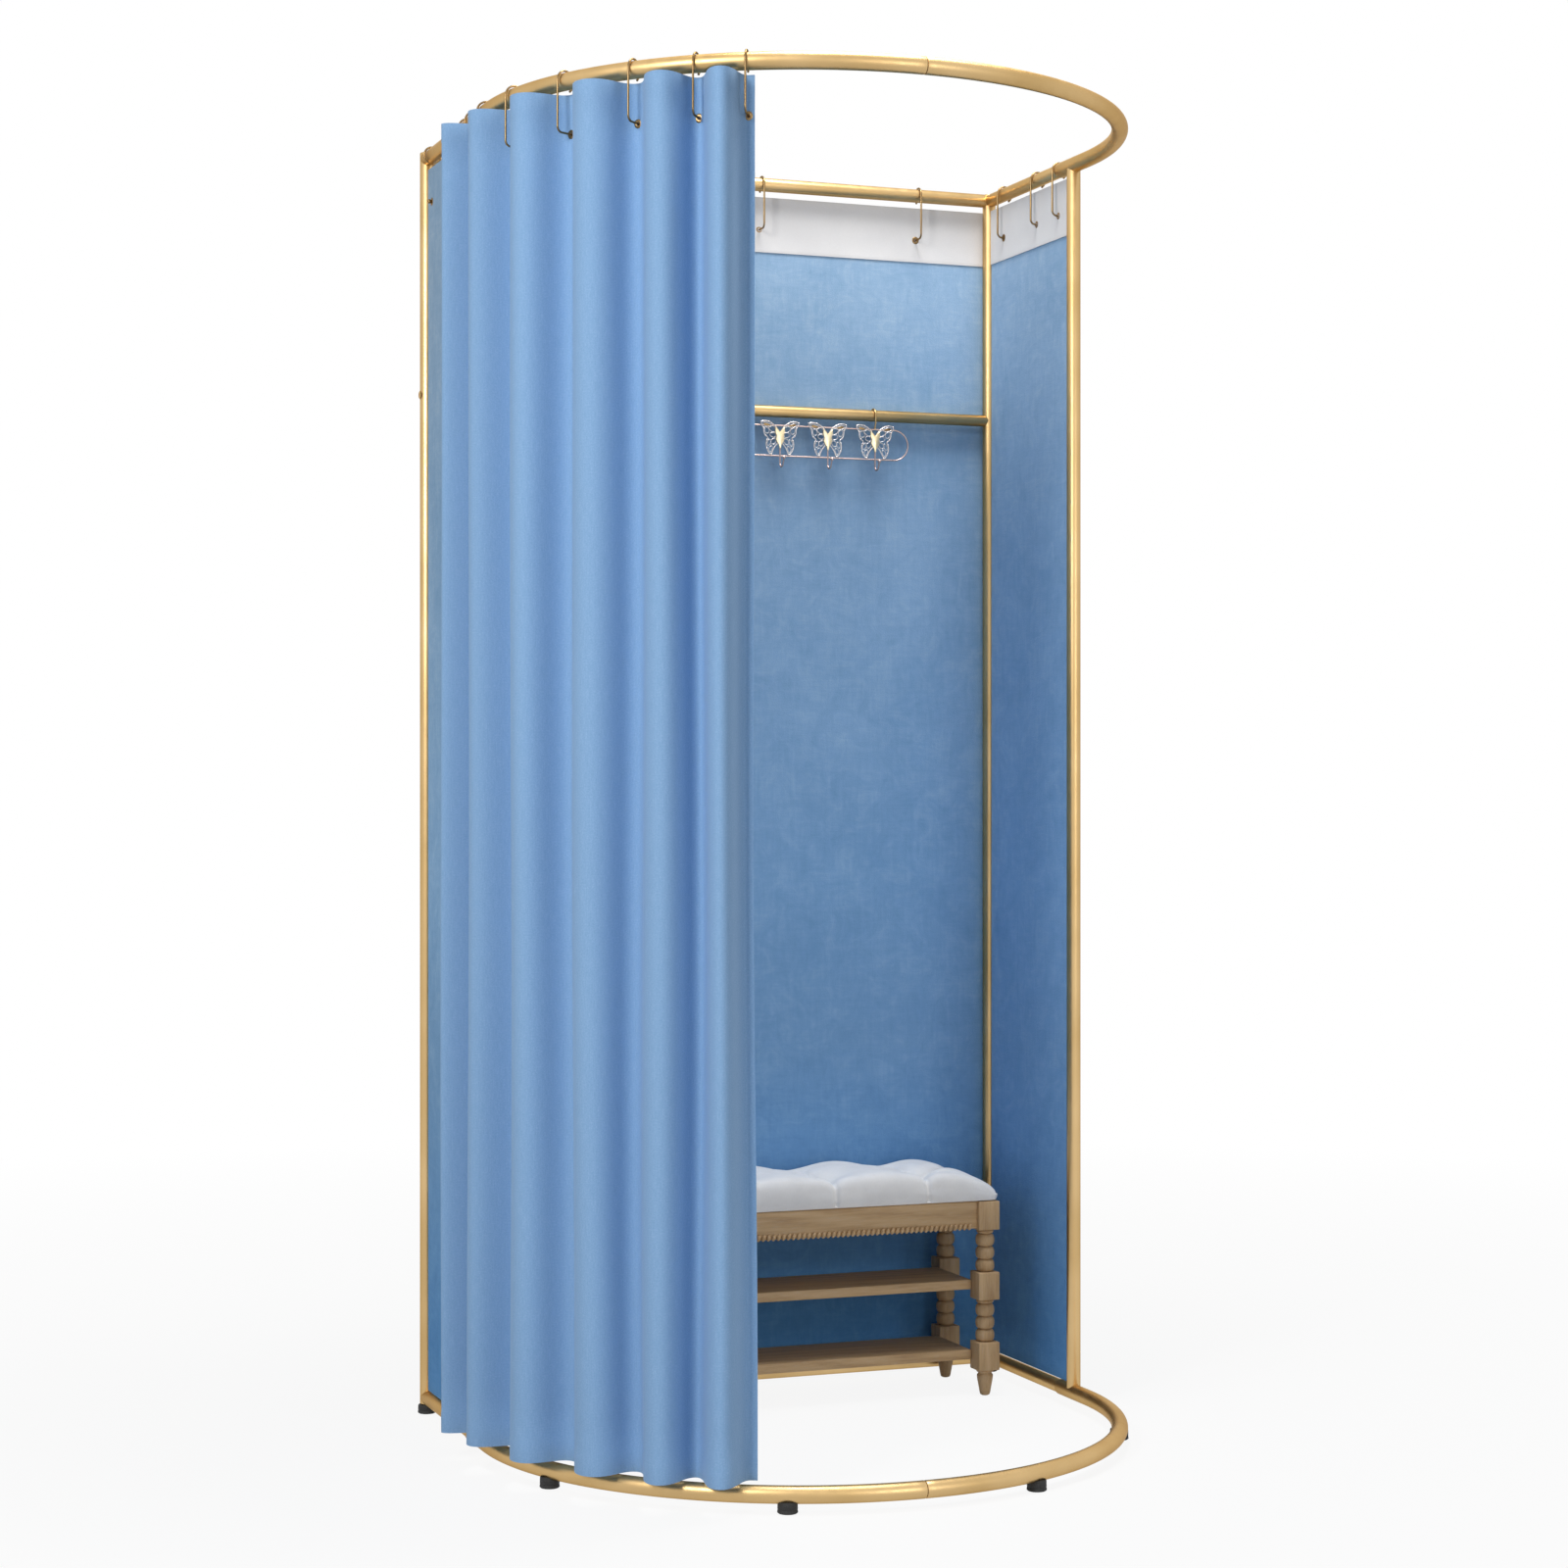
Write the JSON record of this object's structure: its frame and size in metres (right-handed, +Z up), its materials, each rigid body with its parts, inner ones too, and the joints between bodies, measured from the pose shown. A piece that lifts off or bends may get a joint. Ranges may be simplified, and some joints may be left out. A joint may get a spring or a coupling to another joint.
{
  "type": "portable fitting room",
  "caption": "D-shaped gold tube frame hung with blue cloth walls, a gathered curtain that slides along the front arc, butterfly garment hooks and a padded bench.",
  "frame": {"origin": "on the floor under the middle of the whole booth", "axes": "+X to the right along the back wall seen from the front, +Y towards the back wall, +Z up; the rounded front faces -Y"},
  "size_m": [1.0542, 0.8928, 2.0041],
  "materials": {
    "gold_tube": "satin gold plating",
    "gold_wire": "polished gold plating",
    "rose_gold_wire": "polished rose gold plating",
    "rubber": "matte",
    "panel_cloth": "matte woven",
    "header_cloth": "matte woven",
    "curtain_cloth": "soft short nap",
    "cushion_cover": "button tufted",
    "limed_wood": "weathered matte"
  },
  "bodies": {
    "frame": {"back_header": "header_cloth", "back_panel": "panel_cloth", "base_back_tube": "gold_tube", "base_front_arc_left": "gold_tube", "base_front_arc_right": "gold_tube", "base_side_tube_left": "gold_tube", "base_side_tube_right": "gold_tube", "butterfly_rack": "rose_gold_wire", "corner_post_left": "gold_tube", "corner_post_right": "gold_tube", "curtain_hook_1": "gold_wire", "curtain_hook_return": "gold_wire", "curtain_return": "curtain_cloth", "foot_corner_left": "rubber", "foot_corner_right": "rubber", "foot_inner_left": "rubber", "foot_inner_right": "rubber", "foot_outer_left": "rubber", "foot_outer_right": "rubber", "front_post_left": "gold_tube", "front_post_right": "gold_tube", "mid_bar": "gold_tube", "mid_bar_bolt_left": "gold_tube", "mid_bar_bolt_right": "gold_tube", "panel_hook_back_1": "gold_wire", "panel_hook_back_2": "gold_wire", "panel_hook_back_3": "gold_wire", "panel_hook_back_4": "gold_wire", "panel_hook_left_1": "gold_wire", "panel_hook_left_2": "gold_wire", "panel_hook_right_1": "gold_wire", "panel_hook_right_2": "gold_wire", "panel_hook_right_3": "gold_wire", "side_header_left": "header_cloth", "side_header_right": "header_cloth", "side_panel_left": "panel_cloth", "side_panel_right": "panel_cloth", "top_back_tube": "gold_tube", "top_front_arc_left": "gold_tube", "top_front_arc_right": "gold_tube", "top_side_tube_left": "gold_tube", "top_side_tube_right": "gold_tube"},
    "curtain_slide_1": {"curtain_hook_2": "gold_wire", "curtain_fold_1": "curtain_cloth"},
    "curtain_slide_2": {"curtain_hook_3": "gold_wire", "curtain_fold_2": "curtain_cloth"},
    "curtain_slide_3": {"curtain_hook_4": "gold_wire", "curtain_fold_3": "curtain_cloth"},
    "curtain_slide_4": {"curtain_hook_5": "gold_wire", "curtain_fold_4": "curtain_cloth"},
    "curtain_slide_5": {"curtain_hook_6": "gold_wire", "curtain_fold_5": "curtain_cloth"},
    "bench": {"bench_cushion": "cushion_cover", "bench_leg_back_left": "limed_wood", "bench_leg_back_right": "limed_wood", "bench_leg_front_left": "limed_wood", "bench_leg_front_right": "limed_wood", "bench_seat_frame": "limed_wood", "bench_shelf_high": "limed_wood", "bench_shelf_low": "limed_wood"}
  },
  "joints": [
    {"name": "curtain_joint_1", "type": "hinge", "parent": "frame", "child": "curtain_slide_1", "pos_m": [0.02363, 0.0551, 1.9875], "axis": [0, 0, 1], "range_deg": [-7.86, 24.57], "deforming": ["curtain_fold_1"]},
    {"name": "curtain_joint_2", "type": "hinge", "parent": "curtain_slide_1", "child": "curtain_slide_2", "pos_m": [0.02363, 0.0551, 1.9875], "axis": [0, 0, 1], "range_deg": [-8.74, 27.11], "deforming": ["curtain_fold_2"]},
    {"name": "curtain_joint_3", "type": "hinge", "parent": "curtain_slide_2", "child": "curtain_slide_3", "pos_m": [0.02363, 0.0551, 1.9875], "axis": [0, 0, 1], "range_deg": [-8.74, 27.11], "deforming": ["curtain_fold_3"]},
    {"name": "curtain_joint_4", "type": "hinge", "parent": "curtain_slide_3", "child": "curtain_slide_4", "pos_m": [0.02363, 0.0551, 1.9875], "axis": [0, 0, 1], "range_deg": [-6.8, 21.04], "deforming": ["curtain_fold_4"]},
    {"name": "curtain_joint_5", "type": "hinge", "parent": "curtain_slide_4", "child": "curtain_slide_5", "pos_m": [0.02363, 0.0551, 1.9875], "axis": [0, 0, 1], "range_deg": [-5.12, 15.8], "deforming": ["curtain_fold_5"]},
    {"name": "bench_lift", "type": "slide", "parent": "frame", "child": "bench", "axis": [0, 0, 1], "range_m": [0, 0.25]}
  ],
  "couplings": [
    {"joint": "curtain_joint_2", "follows": "curtain_joint_1", "ratio": 1.0996},
    {"joint": "curtain_joint_3", "follows": "curtain_joint_1", "ratio": 1.0996},
    {"joint": "curtain_joint_4", "follows": "curtain_joint_1", "ratio": 0.85218},
    {"joint": "curtain_joint_5", "follows": "curtain_joint_1", "ratio": 0.63913}
  ]
}
